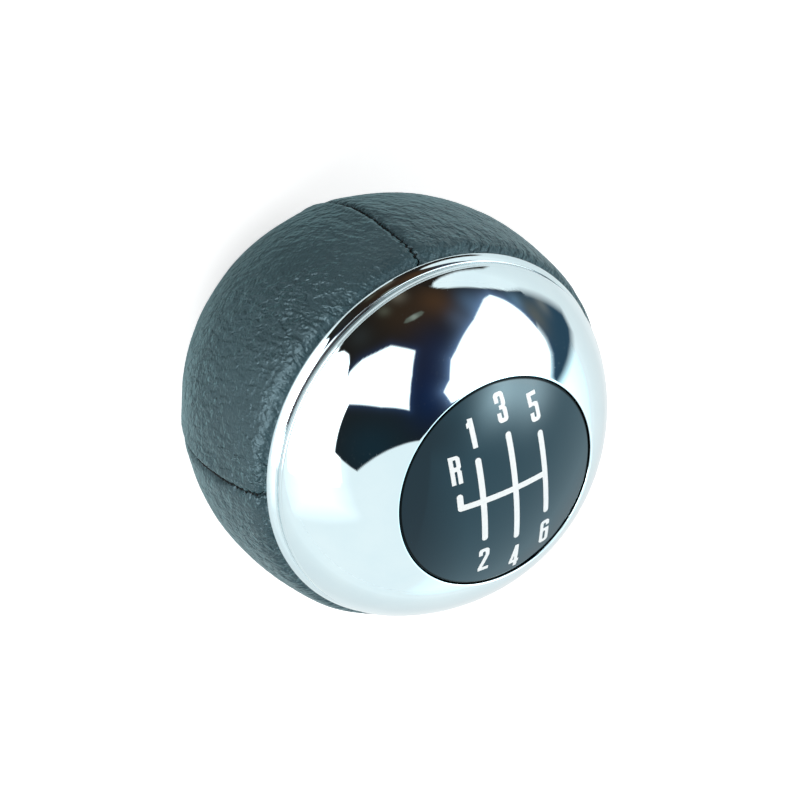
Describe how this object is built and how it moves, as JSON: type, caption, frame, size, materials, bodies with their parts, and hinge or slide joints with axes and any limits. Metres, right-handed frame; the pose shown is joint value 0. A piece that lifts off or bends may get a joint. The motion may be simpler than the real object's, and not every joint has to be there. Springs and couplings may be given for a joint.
{
  "type": "gear shift knob",
  "caption": "Ball-shaped gear shift knob with a leather cover sewn from panels, a bright domed cap and a glossy disc with a white shift pattern.",
  "frame": {"origin": "centre of the base collar's flat underside, on the lever's axis", "axes": "+Z along the lever's axis towards the pattern disc, +Y towards the front of the car (first, third and fifth gear), +X to the right of the pattern"},
  "size_m": [0.05, 0.05, 0.0478],
  "materials": {
    "disc_black": "black, high gloss",
    "print_white": "white print under a clear coat",
    "adhesive_pad": "soft adhesive foil",
    "cap_chrome": "polished bright plating",
    "shell_plastic": "moulded, plain",
    "screw_zinc": "zinc plated",
    "cover_leather": "fine grain with a soft sheen",
    "seam_thread": "twisted thread",
    "bush_nylon": "natural nylon",
    "spring_steel": "blank spring steel",
    "stop_rubber": "soft, matt",
    "collar_plastic": "fine matt texture"
  },
  "bodies": {
    "root": {"pattern_disc": "disc_black", "shift_gate": "print_white", "disc_adhesive": "adhesive_pad", "chrome_cap": "cap_chrome", "upper_shell": "shell_plastic", "lower_shell": "shell_plastic", "shell_screws": "screw_zinc", "leather_front_right": "cover_leather", "leather_front_left": "cover_leather", "leather_rear_left": "cover_leather", "leather_rear_right": "cover_leather", "seam_thread_right": "seam_thread", "seam_thread_front": "seam_thread", "seam_thread_left": "seam_thread", "seam_thread_rear": "seam_thread", "lever_bush": "bush_nylon", "bush_spring": "spring_steel", "lever_stop_pad": "stop_rubber", "base_collar": "collar_plastic"}
  },
  "joints": []
}
